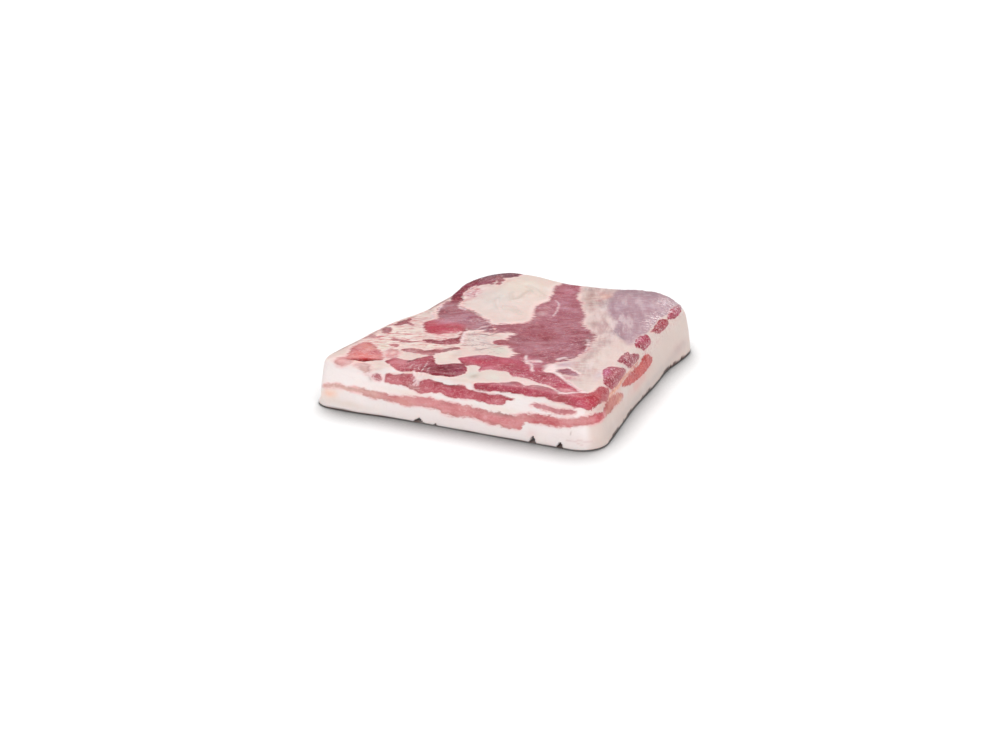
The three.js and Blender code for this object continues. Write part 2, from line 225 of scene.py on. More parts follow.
        (44, 45), (38, 42), (32, 42), (26, 45), (18, 47), (10, 48)]),
    "first chunk": ("side", (174, 76, 90), 1.6, 0.9, [
        (42, 60.5), (46, 64.5), (53, 69), (60, 72), (68, 73.5), (76, 71), (81, 66.5), (86, 62),
        (92, 57), (99, 52), (95, 50), (84, 49), (74, 48), (62, 47.5), (52, 48.5), (46, 53)]),
    "second chunk": ("side", (164, 70, 84), 1.5, 0.9, [
        (92, 68), (95, 69.5), (104, 70), (114, 69.5), (122, 67.5), (121, 63.5), (127, 60.5),
        (134, 57.5), (139, 53), (137, 50), (126, 49), (114, 49), (107, 51.5), (101, 57), (96, 62)]),
    "third chunk": ("side", (174, 66, 86), 1.6, 0.9, [
        (139, 65), (144, 69), (152, 71.5), (161, 71.5), (170, 69), (177, 66), (178, 60), (176, 54.5),
        (170, 52), (160, 52), (152, 53), (147, 57), (142, 61)]),
    "fourth chunk": ("side", (170, 62, 76), 1.5, 0.9, [
        (188, 64.5), (194, 65), (204, 66), (214, 66.5), (222, 68.5), (229, 66), (236, 61), (234, 55),
        (228, 52), (218, 52), (206, 53.5), (198, 57), (193, 61)]),
    "fifth chunk": ("side", (174, 66, 90), 1.4, 0.9, [
        (237, 60.5), (243, 63.5), (250, 66), (260, 67), (270, 66), (280, 64), (290, 63.5), (298, 62),
        (290, 57), (280, 55.5), (272, 53), (262, 52), (252, 53), (244, 56.5)]),
    "upper strip": ("side", (204, 86, 82), 0.8, 1.2, [
        (78, 41), (84, 43.5), (92, 44.5), (104, 45), (116, 44.8), (128, 44.2), (137, 44), (146, 47),
        (155, 47), (162, 44), (167, 39.5), (172, 36), (169, 31.5), (160, 29.5), (148, 29), (136, 29),
        (124, 30), (112, 31.5), (102, 33.5), (92, 36), (84, 38)]),
    "lower strip": ("side", (208, 132, 120), 0.5, 2.0, [
        (22, 37), (28, 40.5), (38, 42), (50, 42.5), (60, 41), (69, 38), (77, 33.5), (80, 30.5),
        (74, 28.5), (64, 28), (52, 28.5), (42, 27.5), (32, 28.5), (24, 30)]),
    "left lower": ("left", (214, 140, 138), 0.5, 1.4, [
        (14, 22.5), (40, 24), (90, 25), (150, 27), (210, 27), (260, 28), (330, 27), (330, 21),
        (260, 20), (210, 18), (150, 19), (90, 17), (40, 18), (20, 20)]),
    "left upper": ("left", (182, 90, 100), 1.1, 1.0, [
        (22, 36), (34, 39), (60, 40), (85, 39), (98, 36), (84, 32), (60, 31), (34, 33)]),
    "left rear": ("left", (156, 72, 86), 1.1, 1.0, [
        (148, 38), (170, 42), (205, 44), (240, 48), (280, 52), (330, 52), (330, 43), (280, 42),
        (240, 38), (205, 35), (170, 34)]),
    "rear lower": ("rear", (214, 138, 138), 0.5, 1.4, [
        (-10, 26), (50, 27), (110, 26), (170, 28), (230, 25), (300, 26), (300, 19), (230, 17),
        (170, 18), (110, 17), (50, 19), (-10, 20)]),
    "rear upper": ("rear", (170, 80, 92), 1.2, 1.0, [
        (18, 44), (40, 48), (75, 49), (110, 46), (124, 43), (110, 40), (75, 37), (40, 38)]),
    "rear streak": ("rear", (186, 92, 102), 1.1, 1.0, [
        (118, 36), (135, 41), (180, 40), (215, 39), (234, 36), (215, 33), (180, 30), (135, 31)]),
}

# Softer changes of tint of the lean, the fat and the silvery film, laid over one another in this
# order. On each chart: the middle, reach both ways, tint and amount.
LEAN_TINTS = {
    "wrap": [
        (270, 61, 9, 9, (220, 90, 82), 0.8), (46, 67, 7, 3, (150, 28, 30), 0.9),
        (34, 62.5, 7, 2.5, (200, 76, 78), 0.7), (40, 74, 9, 6, (242, 140, 132), 0.7),
        (46, 66, 12, 4.5, (214, 62, 66), 0.7), (22, 22.5, 30, 7, (230, 194, 184), 0.95),
        (57, 21.5, 15, 6, (224, 174, 168), 0.9), (38, 24.5, 22, 2.2, (206, 172, 162), 0.7),
        (94, 20, 11, 5, (222, 158, 150), 0.7), (128, 24, 22, 6, (222, 152, 154), 0.6),
        (152, 22, 18, 6, (226, 150, 150), 0.6), (188, 17.5, 24, 5, (220, 136, 140), 0.6),
        (189, 25, 18, 2.4, (198, 152, 148), 0.85), (232, 25, 16, 6, (208, 110, 114), 0.8),
        (222, 28, 8, 2.2, (186, 122, 122), 0.6), (86, 48.5, 10, 2.5, (166, 116, 116), 0.7),
        (82, 42, 11, 6, (208, 132, 138), 0.85), (104, 37, 8, 5, (190, 138, 136), 0.85),
        (142, 47, 14, 2.2, (142, 84, 84), 0.6), (148, 41, 12, 5, (182, 70, 86), 0.7),
        (79, 68, 12, 14, (216, 130, 138), 0.9), (96, 61, 9, 6, (190, 98, 108), 0.6),
        (122, 70, 17, 15, (108, 10, 34), 0.95), (139, 72, 10, 14, (132, 34, 58), 0.85),
        (101, 75, 4, 12, (196, 92, 106), 0.6), (192, 63, 9, 6, (176, 124, 128), 0.85),
        (222, 64, 13, 6, (182, 126, 130), 0.8), (180, 50, 14, 4, (168, 62, 80), 0.7),
        (212, 53, 16, 5, (184, 74, 92), 0.7), (246, 51, 10, 5, (176, 98, 98), 0.7),
        (264, 54, 10, 6, (192, 58, 80), 0.75),
    ],
    "top": [
        (46, 210, 9, 14, (112, 14, 42), 0.85), (26, 32, 5, 8, (212, 124, 128), 0.7),
        (47, 34, 6, 7, (212, 120, 128), 0.7), (62, 38, 3, 5, (246, 200, 194), 0.8),
        (33, 45, 8, 8, (220, 150, 138), 0.8), (142, 56, 13, 5, (190, 128, 146), 0.85),
        (150, 43, 15, 6, (186, 52, 78), 0.85), (172, 50, 10, 8, (190, 78, 96), 0.7),
        (176, 64, 9, 5, (184, 108, 122), 0.8), (192, 36, 11, 8, (162, 56, 74), 0.75),
        (219, 36, 14, 9, (168, 56, 78), 0.7), (242, 20, 9, 7, (190, 66, 88), 0.85),
        (247, 13, 8, 4, (214, 138, 144), 0.8), (80, 51, 12, 6, (182, 122, 122), 0.8),
        (110, 64, 6, 6, (142, 92, 92), 0.8), (72, 107, 13, 8, (184, 52, 72), 0.9),
        (74, 134, 17, 9, (198, 132, 148), 0.95), (52, 168, 7, 18, (158, 98, 106), 0.75),
        (63, 160, 7, 12, (178, 130, 136), 0.6), (76, 150, 9, 14, (192, 142, 154), 0.9),
        (89, 150, 4, 11, (162, 90, 110), 0.8), (113, 131, 8, 9, (188, 142, 150), 0.7),
        (168, 225, 24, 50, (178, 110, 126), 0.7), (152, 196, 6, 18, (196, 140, 144), 0.75),
        (158, 272, 12, 20, (184, 104, 120), 0.6), (172, 134, 22, 18, (158, 70, 82), 0.85),
        (216, 120, 12, 22, (150, 64, 82), 0.8), (222, 138, 5, 14, (158, 108, 112), 0.7),
        (160, 112, 12, 8, (152, 90, 98), 0.7), (186, 108, 22, 10, (182, 122, 132), 0.8),
        (216, 96, 10, 12, (178, 110, 124), 0.6), (222, 80, 7, 7, (166, 124, 132), 0.8),
        (200, 190, 5, 14, (192, 140, 152), 0.6), (49, 206, 6, 12, (136, 18, 42), 0.85),
    ],
    "side": [
        (11, 57, 6, 7, (188, 74, 94), 0.7), (60, 68, 10, 4, (188, 82, 118), 0.85),
        (70, 60.5, 9, 1.5, (226, 162, 164), 0.6), (110, 65, 3.5, 2.5, (230, 170, 172), 0.7),
        (154, 66.5, 10, 3.2, (190, 58, 108), 0.85), (283, 60, 9, 5, (164, 124, 134), 0.85),
        (66, 30, 9, 2.5, (238, 176, 148), 0.85), (14, 35, 6, 4, (210, 98, 104), 0.7),
        (21.5, 33, 4, 4, (240, 172, 174), 0.85),
    ],
}
FAT_TINTS = {
    "wrap": [
        (16, 15, 11, 6, (250, 204, 182), 0.9), (42, 57.5, 9, 3, (252, 192, 166), 0.95),
        (64, 54, 8, 6, (222, 206, 192), 0.8), (60.5, 38, 3, 3, (190, 168, 166), 0.8),
        (100, 30, 30, 3, (240, 220, 208), 0.5), (190, 29, 20, 3, (238, 220, 208), 0.5),
        (247, 43, 16, 4, (234, 212, 202), 0.6), (30, 6, 26, 4, (232, 214, 202), 0.6),
        (222, 9, 5, 5, (240, 208, 206), 0.5), (266, 12, 12, 6, (236, 216, 212), 0.5),
    ],
    "top": [
        (229, 92, 10, 14, (196, 172, 170), 0.7), (247, 34, 12, 18, (212, 198, 190), 0.7),
        (222, 190, 28, 110, (216, 188, 186), 0.7), (186, 258, 14, 36, (198, 168, 164), 0.7),
        (46, 53, 8, 9, (228, 220, 202), 0.9), (14, 45, 5, 20, (218, 186, 180), 0.6),
        (60, 40, 8, 9, (226, 170, 168), 0.7), (45, 98, 20, 12, (232, 220, 206), 0.8),
        (30, 108, 14, 6, (230, 182, 182), 0.7), (22, 88, 6, 14, (206, 176, 172), 0.6),
        (86, 93, 9, 5, (240, 186, 186), 0.8), (84, 64, 16, 5, (240, 222, 208), 0.8),
        (112, 46, 9, 12, (238, 220, 208), 0.8), (122, 56, 4, 8, (206, 184, 176), 0.6),
        (126, 94, 14, 16, (224, 210, 206), 0.9), (155, 78, 11, 8, (222, 214, 202), 0.9),
        (155, 18, 12, 14, (224, 216, 208), 0.8), (159, 16, 4, 5, (198, 178, 166), 0.8),
        (175, 20, 10, 8, (228, 222, 212), 0.8), (205, 19, 16, 5, (246, 216, 214), 0.8),
        (45, 135, 8, 8, (222, 190, 186), 0.7), (40, 158, 5, 14, (196, 182, 172), 0.7),
        (100, 200, 34, 34, (226, 208, 202), 0.8), (110, 250, 26, 30, (228, 212, 198), 0.8),
        (90, 215, 14, 16, (216, 206, 200), 0.6), (60, 222, 10, 16, (226, 190, 198), 0.9),
        (52, 235, 5, 12, (222, 172, 178), 0.8), (74, 245, 4, 5, (152, 132, 130), 0.9),
        (84, 250, 5, 18, (222, 190, 182), 0.6), (247, 84, 9, 40, (230, 209, 200), 0.8),
        (238, 88, 5, 20, (206, 184, 178), 0.7), (244, 62, 10, 24, (204, 180, 176), 0.85),
        (263, 56, 5, 14, (212, 194, 202), 0.8), (225, 66, 8, 7, (208, 174, 184), 0.9),
        (239, 41, 6, 6, (208, 134, 144), 0.95), (238, 130, 10, 22, (208, 184, 180), 0.8),
        (212, 180, 5, 9, (180, 150, 146), 0.7), (208, 222, 6, 26, (214, 190, 186), 0.7),
        (190, 236, 9, 14, (184, 158, 154), 0.8), (181, 262, 7, 22, (190, 158, 150), 0.8),
        (172, 285, 7, 14, (186, 162, 158), 0.7), (202, 265, 10, 9, (228, 168, 152), 0.95),
    ],
    "side": [
        (34, 43, 18, 3, (236, 172, 158), 0.8), (124, 25, 34, 5, (234, 192, 186), 0.8),
        (250, 15, 18, 6, (214, 186, 182), 0.8), (150, 12, 130, 4, (212, 200, 196), 0.5),
    ],
}
FILM_TINTS = {
    "top": [
        (224, 286, 36, 11, (156, 126, 134), 0.7), (250, 250, 13, 6, (206, 180, 190), 0.7),
        (222, 232, 9, 14, (196, 166, 176), 0.7), (205, 250, 6, 26, (168, 144, 150), 0.6),
        (240, 168, 5, 16, (166, 140, 150), 0.6),
    ],
}

# Areas on each chart: the middle, reach both ways and amount.
# How much the fat is streaked with pink, and how much with fibres.
PINK_AREAS = {
    "wrap": [
        (45, 56, 22, 8, 0.4),
    ],
    "top": [
        (30, 110, 26, 60, 0.9), (55, 70, 40, 26, 0.8), (100, 85, 26, 22, 0.65), (60, 222, 10, 18, 0.8),
        (55, 205, 12, 60, 0.6), (70, 265, 20, 20, 0.6), (128, 105, 20, 26, 0.3),
        (235, 120, 12, 50, 0.35), (192, 255, 12, 40, 0.4), (245, 55, 20, 26, 0.3),
    ],
    "side": [
        (100, 46, 90, 6, 0.5), (215, 50, 70, 6, 0.3),
    ],
}
FIBRE_AREAS = {
    "top": [
        (245, 90, 16, 50, 0.6), (244, 58, 12, 26, 0.5), (226, 170, 16, 40, 0.75),
        (200, 235, 18, 40, 0.75), (178, 285, 14, 30, 0.9), (240, 225, 30, 70, 0.5),
        (250, 160, 14, 30, 0.5),
    ],
}
# How far the lean's edge frays, in millimetres: everywhere, and how much more in places.
RAGGED = 3.8
RAGGED_AREAS = {
    "top": [
        (60, 160, 60, 60, 4.5), (60, 80, 60, 30, 4.0), (40, 30, 30, 26, 3.0), (65, 240, 30, 60, 4.0),
        (228, 110, 14, 60, 7.0), (205, 190, 18, 40, 5.0), (215, 72, 14, 10, 5.0),
        (180, 62, 30, 14, 2.5), (130, 130, 30, 30, 5.5), (90, 25, 24, 20, 3.0),
    ],
    "side": [
        (60, 62, 22, 12, 1.5), (112, 62, 22, 12, 2.5), (155, 62, 20, 12, 1.5), (220, 60, 50, 12, 1.5),
    ],
}
# How far the painted shadow along the foot of the right side rises, in millimetres.
FOOT_SHADOW_RISE = {
    "side": [
        (213, 6, 9, 12, 2.4), (234, 6, 5, 12, 1.8), (150, 6, 12, 12, 0.7), (104, 6, 14, 12, 0.8),
        (36, 6, 14, 12, 0.9),
    ],
}
# How strongly painted glints, standing in for light caught on the wet surface, lighten it.
GLINT_AREAS = {
    "wrap": [
        (66, 40, 8, 7, 0.9), (108, 44, 7, 12, 0.6), (96, 66, 12, 16, 0.4),
    ],
    "top": [
        (38, 32, 16, 14, 0.5), (216, 118, 10, 16, 0.35), (265, 216, 7, 20, 1.6), (263, 270, 9, 11, 1.6),
        (66, 262, 14, 8, 0.8), (100, 147, 16, 7, 0.7), (215, 30, 40, 14, 0.5),
    ],
    "side": [
        (64, 62, 20, 12, 0.8), (112, 60, 22, 14, 1.0), (156, 60, 20, 14, 0.9), (208, 60, 24, 12, 0.8),
        (266, 62, 30, 12, 0.7),
    ],
}

# Threads of pale tissue. On each chart: half width, strength, and the points that each follows.
THREADS = {
    "wrap": [
        (0.9, 1.0, [(102, 57), (104.5, 51), (107, 46), (110, 41)]),
        (0.7, 0.9, [(111.5, 55), (111.5, 48), (109.5, 43), (106, 40.5)]),
        (0.7, 0.9, [(106.5, 56), (108, 50), (105.5, 44)]),
        (0.6, 0.7, [(103, 47), (108, 45.5), (113, 46.5)]),
        (0.7, 0.9, [(59.5, 45), (61, 40.5), (64, 36), (70, 35.5), (74, 39.5), (73, 45), (67, 47.5)]),
        (0.6, 0.5, [(165, 45), (178, 43.8), (192, 45.2), (204, 47)]),
        (1.1, 1.0, [(237, 62), (242, 57.5), (250, 59), (257, 65), (262, 70)]),
        (0.6, 0.6, [(203, 72), (206, 66), (209.5, 59)]),
    ],
    "top": [
        (1.1, 1.0, [(183, 75), (187, 63.5), (193, 58), (198, 50), (202, 43)]),
        (2.2, 0.9, [(189, 63), (194, 65), (199, 67)]),
        (4.6, 1.0, [(213, 59), (217, 51)]),
        (1.4, 1.0, [(219, 48), (229, 42), (236, 36), (242, 28.5), (250, 23), (260, 15)]),
        (0.8, 0.9, [(230, 61.5), (237, 56), (244, 51)]),
        (0.7, 0.85, [(152, 233), (156, 228), (159.5, 221), (162.5, 210), (164.5, 200), (166, 191)]),
        (1.2, 0.9, [(113, 82), (107, 101), (104.5, 112), (110, 116)]),
        (0.9, 0.7, [(115, 122), (118, 125)]),
        (0.9, 0.7, [(111, 130), (114, 134)]),
        (0.9, 0.7, [(122, 128), (125, 131.5)]),
        (1.0, 0.5, [(110, 122), (115, 133), (119, 145)]),
        (1.4, 0.8, [(60, 186), (66, 179), (73, 175)]),
        (1.0, 0.7, [(41, 160), (47, 149), (53, 139)]),
        (1.0, 0.6, [(222, 136), (227, 122), (231, 104)]),
        (1.8, 0.9, [(214, 77), (218, 82)]),
        (0.4, 0.6, [(94, 18), (97, 8)]),
        (0.4, 0.45, [(98, 18), (101, 8)]),
        (0.4, 0.6, [(102, 19), (105, 8)]),
        (0.45, 0.7, [(104, 29), (107, 19), (110, 7)]),
        (0.45, 0.6, [(113, 16), (116, 6)]),
    ],
}
# The crease in front of the salmon patch, on the top.
SALMON_CREASE = [(29, 8.5), (36, 10), (43, 11.5), (48, 14), (54, 17), (60, 20)]

# Folds that stand up from the patch of fat at the rear.
FOLDS = [
    [(104, 221), (113, 206), (119, 215), (121, 239)],
    [(112, 190), (120, 193), (131, 183)],
    [(115, 252), (129, 241), (138, 236)],
    [(96, 206), (101, 194), (108, 184)],
]

# Thin lines of another colour, some of them painted shade. On each chart: half width, amount, tint and
# points.
LINES_AND_SHADE = {
    "wrap": [
        (0.7, 0.6, (206, 158, 156), [(57.5, 56), (56.5, 50), (59, 45.5)]),
        (0.7, 0.6, (186, 166, 160), [(257, 16), (257.5, 19)]),
        # Painted shade of small wrinkles at the front right corner.
        (0.7, 0.5, (222, 190, 190), [(253, 9), (259, 10.2), (267, 9.4)]),
        (0.7, 0.5, (222, 190, 190), [(262, 12), (268, 13.5), (275, 17)]),
    ],
    "top": [
        (1.2, 0.8, (148, 108, 122), [(110, 103.5), (114, 106.5), (118, 110.5)]),
        (1.0, 0.9, (130, 82, 100), [(120, 110), (123, 111), (126.5, 112.5)]),
        (1.1, 0.8, (142, 106, 108), [(128, 108.5), (131, 115), (133, 121)]),
        (1.2, 0.75, (160, 130, 128), [(116, 75.5), (122, 78), (129, 81.5)]),
        (1.1, 0.75, (154, 132, 134), [(132, 70.5), (137, 72.5), (140, 76), (144, 79.5)]),
        (1.1, 0.7, (156, 130, 134), [(138, 87), (142, 89.5), (145, 92)]),
        (0.9, 0.7, (194, 116, 122), [(147, 84), (154, 89)]),
        (1.1, 0.85, (120, 62, 80), [(113.5, 127), (116, 130)]),
        (1.0, 0.8, (120, 62, 80), [(111.5, 137), (113, 140)]),
        (1.1, 0.8, (126, 70, 82), [(118.5, 124), (121, 126.5)]),
        (1.0, 0.8, (120, 62, 80), [(119, 131), (121, 133.5)]),
        (1.0, 0.8, (126, 70, 82), [(110, 122), (112.5, 124.5)]),
        (1.2, 0.7, (132, 80, 92), [(106, 117.5), (109.5, 121)]),
        (1.1, 0.8, (126, 80, 84), [(125, 124), (128, 126.5)]),
        (1.5, 0.9, (112, 40, 46), [(88, 19), (88.5, 25), (90, 29), (92.5, 34)]),
        # Painted shade along the left edge of the top, where it turns away from the light.
        (1.5, 0.5, (156, 122, 116), [(11, 15), (12, 31), (13, 47), (13.5, 62), (16, 75)]),
        (1.6, 0.6, (148, 108, 104), [(16, 75), (17.5, 91), (20, 104), (23, 118), (27, 131), (32, 143)]),
        (1.8, 0.65, (124, 78, 86), [(34.5, 166), (36, 178), (38.5, 191), (40.5, 206)]),
        (1.0, 0.8, (238, 206, 212), [(41, 184), (44, 174), (47, 165)]),
        (1.2, 0.6, (146, 122, 116), [(46, 151), (50, 144), (52, 139)]),
        (1.1, 0.6, (172, 98, 112), [(52, 226), (58, 222), (62, 228), (58, 236), (52, 238)]),
        (1.0, 0.6, (166, 96, 110), [(60, 214), (66, 212), (64, 220), (58, 216)]),
        (1.4, 0.55, (172, 156, 146), [(75, 175), (86, 169), (97, 163.5)]),
        # Painted shade in the valleys of the fat patch's folds.
        (3.2, 0.5, (206, 188, 176), [(104, 225), (111, 210), (116, 217), (118, 238)]),
        (2.8, 0.45, (206, 188, 176), [(112, 187), (120, 190), (132, 180)]),
        (2.8, 0.4, (206, 188, 176), [(114, 249), (128, 238), (138, 233)]),
        (1.0, 0.5, (228, 156, 162), [(62, 80), (72, 88), (84, 92)]),
        (0.9, 0.5, (226, 160, 166), [(44, 84), (58, 92), (70, 95)]),
        (1.3, 0.6, (156, 134, 144), [(239, 168), (247, 156), (256, 147)]),
    ],
    "side": [
        (1.1, 0.8, (250, 190, 160), [(43, 44), (56, 44.5), (70, 45), (84, 46.5), (100, 46.5),
        (114, 47)]),
    ],
}

# The creamy fat patch of the top, the silvery film, and the veined fat between the streaks.
FAT_PATCH = [
    (100, 162), (92, 170), (76, 180), (66, 186), (62, 199), (62, 217), (66, 229), (73, 232), (79, 240),
    (82, 250), (84, 262), (88, 282), (92, 350), (132, 350), (136, 300), (139, 270), (144, 246),
    (145, 228), (141, 214), (141, 204), (146, 187), (150, 170), (148, 160), (134, 151), (124, 144),
    (114, 148)]
FILM_PATCH = [
    (213, 222), (207, 238), (204, 254), (203, 272), (202, 290), (200, 350), (320, 350), (310, 260),
    (276, 238), (272, 200), (270, 165), (268, 145), (264, 134), (257, 142), (249, 151), (241, 161),
    (237, 171), (232, 186), (226, 200), (219, 211)]
VEINED_PATCH = [
    (106, 100), (112, 118), (126, 118), (134, 104), (148, 90), (160, 84), (158, 70), (132, 68),
    (114, 78)]

# The camera in the mark's millimetres, tilted up from straight down and turned about z in degrees.
CAMERA_PLACE = (547.0, -818.1, 400.4)
CAMERA_TILT, CAMERA_TURN = 69.0, 23.62
CAMERA_LENS = 39.6

# Colours of the fat, the skin and the film, with the right side's fat painted darker as shade and painted
# shadow along the foot and in the nicks, and the share of every tint that the bright studio light needs.
FAT_FRONT = (246, 235, 233)
FAT_TOP = (233, 208, 200)
# The front's fat painted darker as shade on the side facing right.
FAT_SIDE_SHADED = (230, 211, 203)
SKIN = (226, 200, 186)
# A painted shadow along the foot, where the skin's lower edge meets the floor.
FOOT_SHADOW_TINT = (112, 92, 88)
BLUSH = (240, 188, 188)
# Painted shade inside the nicks of the skin's lower edge.
NICK_SHADOW = (52, 44, 44)
RIM = (252, 224, 218)
FILM = (180, 142, 154)
TINT_SHARE = 0.86

# Far outside a part: what is taken off its distances on the sides of the slab that it isn't on.
FAR = 60.0

# Millimetres over which the tints of two lean parts mix where they meet.
MEETING = 1.6


def tone(red, green, blue):
    """A screen colour as the linear light that Blender uses."""
    seen = np.array([red, green, blue]) / 255
    return np.where(seen <= 0.04045, seen / 12.92, ((seen + 0.055) / 1.055) ** 2.4)


def over(tint, colour, amount):
    """A screen colour laid over the tints by an amount at each place."""
    return tint + (tone(*colour) - tint) * np.clip(amount, 0, 1)[:, None]


def smooth(low, high, value):
    """Goes from 0 at low to 1 at high along 3 t^2 - 2 t^3, and stays level outside."""
    t = np.clip((value - low) / (high - low), 0, 1)
    return t * t * (3 - 2 * t)


def mounds(places, x, y):
    """Sum of bell-shaped mounds, each amount times exp of minus the squared distance in reaches."""
    total = np.zeros_like(x)
    for centre_x, centre_y, reach_x, reach_y, amount in places:
        total += amount * np.exp(-(((x - centre_x) / reach_x) ** 2) - ((y - centre_y) / reach_y) ** 2)
    return total


def ripples(x, y, size, seed, layers=3):
    """Smooth noise from about -1 to 1: random values on a square lattice of the size, joined by
    3 t^2 - 2 t^3 both ways, with finer layers of half the size and strength, each turned a radian."""
    draw = np.random.default_rng(seed)
    total = np.zeros_like(x)
    for layer in range(layers):
        lattice = draw.uniform(-1, 1, (128, 128))
        u, v = x / size * 2**layer + 40, y / size * 2**layer + 40
        i, j = np.floor(u).astype(int), np.floor(v).astype(int)
        s, t = smooth(0, 1, u - i), smooth(0, 1, v - j)
        near, far = lattice[i % 128, j % 128], lattice[(i + 1) % 128, j % 128]
        near_up, far_up = lattice[i % 128, (j + 1) % 128], lattice[(i + 1) % 128, (j + 1) % 128]
        low, high = near + (far - near) * s, near_up + (far_up - near_up) * s
        total += (low + (high - low) * t) / 2**layer
        x, y = x * np.cos(1) - y * np.sin(1), x * np.sin(1) + y * np.cos(1)
    return total


def top_height(x, y):
    """Height of the top: the thickness, rising to the rear, dipping at the left, plus the swells."""
    rise = 4.5 * smooth(-10, 110, y)
    dip = 3.2 * (1 - smooth(0, 95, x)) * (1 - smooth(90, 215, y))
    return THICKNESS + rise - dip + mounds(SWELLS, x, y)


def outline(u, v):
    """Where a ray from the centre through (u, v), on the edge of the unit square, meets the
    rounded outline, and the outward normal there: the corner's centre plus its radius along
    the way from that centre to the square's edge."""
    half_w, half_d = WIDTH / 2, DEPTH / 2
    x, y = u * half_w, v * half_d
    front = np.where(x < 0, CORNER_RADII["front left"], CORNER_RADII["front right"])
    rear = np.where(x < 0, CORNER_RADII["rear left"], CORNER_RADII["rear right"])
    radius = np.where(y < 0, front, rear)
    core_x = np.clip(x, radius - half_w, half_w - radius)
    core_y = np.clip(y, radius - half_d, half_d - radius)
    length = np.maximum(np.hypot(x - core_x, y - core_y), 1e-9)
    normal_x, normal_y = (x - core_x) / length, (y - core_y) / length
    return core_x + normal_x * radius, core_y + normal_y * radius, normal_x, normal_y


def round_top(inset, height, top, radius):
    """Moves what lies between the section's square top corner and the centre of a circle of the
    radius onto that circle, along the ray from its centre."""
    across, above = inset - radius, height - (top - radius)
    length = np.maximum(np.hypot(across, above), 1e-9)
    inside = (across < 0) & (above > 0)
    round_inset = radius + across / length * radius
    round_height = top - radius + above / length * radius
    return np.where(inside, round_inset, inset), np.where(inside, round_height, height)


def slab_surface(a, b, c):
    """The smooth slab over the skin of a box (a and b from -1 to 1, c from 0 to 1).
    Shells of the rounded outline, shrunk by max(|a|, |b|), carry the top; the sides climb with c,
    lean in by their lean times the height to the power of the side curve, and bow out."""
    shell = np.maximum(np.maximum(np.abs(a), np.abs(b)), 1e-9)
    edge_x, edge_y, normal_x, normal_y = outline(a / shell, b / shell)
    reach = np.where(np.abs(a) >= np.abs(b), WIDTH / 2, DEPTH / 2)
    to_x, to_y = WIDTH / 2 - MARK_X, DEPTH / 2 - MARK_Y
    at_x, at_y = edge_x + to_x, edge_y + to_y
    top = top_height(edge_x * shell + to_x, edge_y * shell + to_y)
    radius = TOP_EDGE + mounds(SOFT_EDGES, at_x, at_y)
    inset, height = round_top((1 - shell) * reach, c * top, top, radius)
    inset = inset + FOOT_INSET * (1 - smooth(0, FOOT_HEIGHT, height)) * (shell > 0.999)
    lean_x = np.where(normal_x < 0, LEAN_BACK["left"], LEAN_BACK["right"])
    lean_y = np.where(normal_y < 0, LEAN_BACK["front"], LEAN_BACK["rear"])
    lean = (lean_x * normal_x**2 + lean_y * normal_y**2) * (height / top) ** SIDE_CURVE
    lip = mounds(LIP, at_x, at_y) * (1 - smooth(0, LIP_HEIGHT, height))
    out = (mounds(BOWS, at_x, at_y) + lip - lean) * shell
    shrink = 1 - inset / reach
    x = edge_x * shrink + normal_x * out + to_x
    y = edge_y * shrink + normal_y * out + to_y
    return np.stack([x, y, height], axis=1)


def box_skin():
    """Places on the skin of the unit box, closer at the edges and toward the front, and its faces:
    the top, the four sides and rings of the underside in quads, and its middle as one face."""
    steps_a = np.linspace(-1, 1, ACROSS + 1)
    steps_a = steps_a * (1 + CLOSER_ACROSS * (1 - steps_a**2))
    steps_b = 2 * np.linspace(0, 1, ALONG + 1) ** CLOSER_ALONG - 1
    foot = FOOT_HEIGHT / THICKNESS
    steps_c = np.concatenate([[0, foot / 2], np.linspace(foot, 1, UP - 1)])
    grid_a, grid_b = np.meshgrid(steps_a, steps_b, indexing="ij")
    top_ids = np.arange(grid_a.size).reshape(grid_a.shape)
    last_i, last_j = ACROSS, ALONG
    none_i, none_j = np.zeros(last_i, int), np.zeros(last_j, int)
    rim_i = np.concatenate([np.arange(last_i), none_j + last_i, np.arange(last_i, 0, -1), none_j])
    rim_j = np.concatenate([none_i, np.arange(last_j), none_i + last_j, np.arange(last_j, 0, -1)])
    shells = np.concatenate([UNDERSIDE_RINGS, np.ones(UP)])
    ring_a = np.outer(shells, steps_a[rim_i])
    ring_b = np.outer(shells, steps_b[rim_j])
    ring_c = np.concatenate([np.zeros(len(UNDERSIDE_RINGS)), steps_c[:UP]])[:, None] + 0 * ring_a
    a = np.concatenate([grid_a.ravel(), ring_a.ravel()])
    b = np.concatenate([grid_b.ravel(), ring_b.ravel()])
    c = np.concatenate([np.ones(grid_a.size), ring_c.ravel()])
    rings = grid_a.size + np.arange(ring_a.size).reshape(ring_a.shape)
    rings = np.vstack([rings, top_ids[rim_i, rim_j]])
    top = np.stack([top_ids[:-1, :-1], top_ids[1:, :-1], top_ids[1:, 1:], top_ids[:-1, 1:]], axis=-1)
    low, high = rings[:-1], rings[1:]
    sides = np.stack([low, np.roll(low, -1, 1), np.roll(high, -1, 1), high], axis=-1)
    return a, b, c, np.concatenate([top.reshape(-1, 4), sides.reshape(-1, 4)]), rings[0][::-1]


def normals_of(places, quads):
    """Normal at each place: the cross products of its quads' diagonals, added and made unit."""
    across = places[quads[:, 2]] - places[quads[:, 0]]
    along = places[quads[:, 3]] - places[quads[:, 1]]
    faces = np.cross(across, along)
    total = np.zeros_like(places)
    for corner in range(4):
        np.add.at(total, quads[:, corner], faces)
    return total / np.maximum(np.linalg.norm(total, axis=1, keepdims=True), 1e-9)


